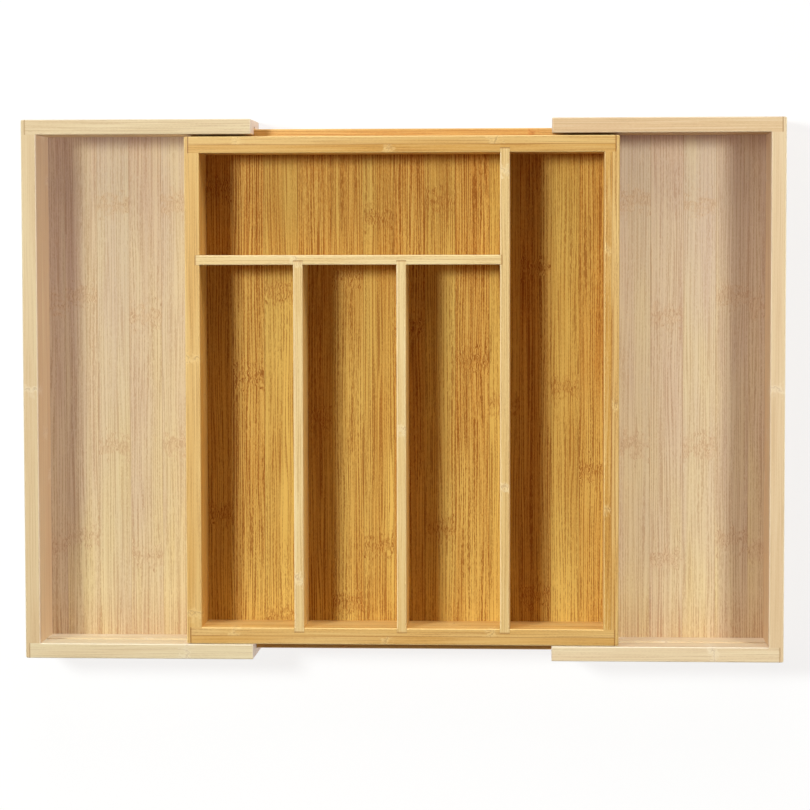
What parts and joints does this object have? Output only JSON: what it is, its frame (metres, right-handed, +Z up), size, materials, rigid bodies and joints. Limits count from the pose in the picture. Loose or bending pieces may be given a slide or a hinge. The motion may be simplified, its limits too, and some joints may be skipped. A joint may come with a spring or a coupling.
{
  "type": "expandable cutlery tray",
  "caption": "Bamboo drawer tray with straight dividers and two side wings that slide out from under it.",
  "frame": {"origin": "on the table under the middle of the tray with both wings pulled out", "axes": "+X along the slide towards the right wing, +Y to the back, +Z up"},
  "size_m": [0.506, 0.36, 0.05],
  "materials": {
    "carbonised_bamboo_board": "planed and oiled laminated bamboo board",
    "carbonised_bamboo_panel": "thin laminated bamboo panel, oiled, darker",
    "pale_bamboo_divider": "planed pale bamboo strip",
    "amber_bamboo_rail": "planed amber bamboo strip",
    "natural_bamboo_board": "planed natural bamboo board",
    "natural_bamboo_panel": "thin natural bamboo panel"
  },
  "bodies": {
    "centre_tray": {"centre_left_wall": "carbonised_bamboo_board", "centre_right_wall": "carbonised_bamboo_board", "centre_back_wall": "carbonised_bamboo_board", "centre_front_wall": "carbonised_bamboo_board", "centre_floor": "carbonised_bamboo_panel", "long_divider": "pale_bamboo_divider", "cross_divider": "pale_bamboo_divider", "short_divider_left": "pale_bamboo_divider", "short_divider_right": "pale_bamboo_divider", "back_guide_rail": "amber_bamboo_rail", "front_guide_rail": "amber_bamboo_rail"},
    "left_wing": {"left_wing_end_wall": "natural_bamboo_board", "left_wing_back_wall": "natural_bamboo_board", "left_wing_front_wall": "natural_bamboo_board", "left_wing_floor": "natural_bamboo_panel", "left_wing_stop": "natural_bamboo_board"},
    "right_wing": {"right_wing_end_wall": "natural_bamboo_board", "right_wing_back_wall": "natural_bamboo_board", "right_wing_front_wall": "natural_bamboo_board", "right_wing_floor": "natural_bamboo_panel", "right_wing_stop": "natural_bamboo_board"}
  },
  "joints": [
    {"name": "left_wing_slide", "type": "slide", "parent": "centre_tray", "child": "left_wing", "axis": [-1, 0, 0], "range_m": [-0.0985, 0]},
    {"name": "right_wing_slide", "type": "slide", "parent": "centre_tray", "child": "right_wing", "axis": [1, 0, 0], "range_m": [-0.0985, 0]}
  ]
}
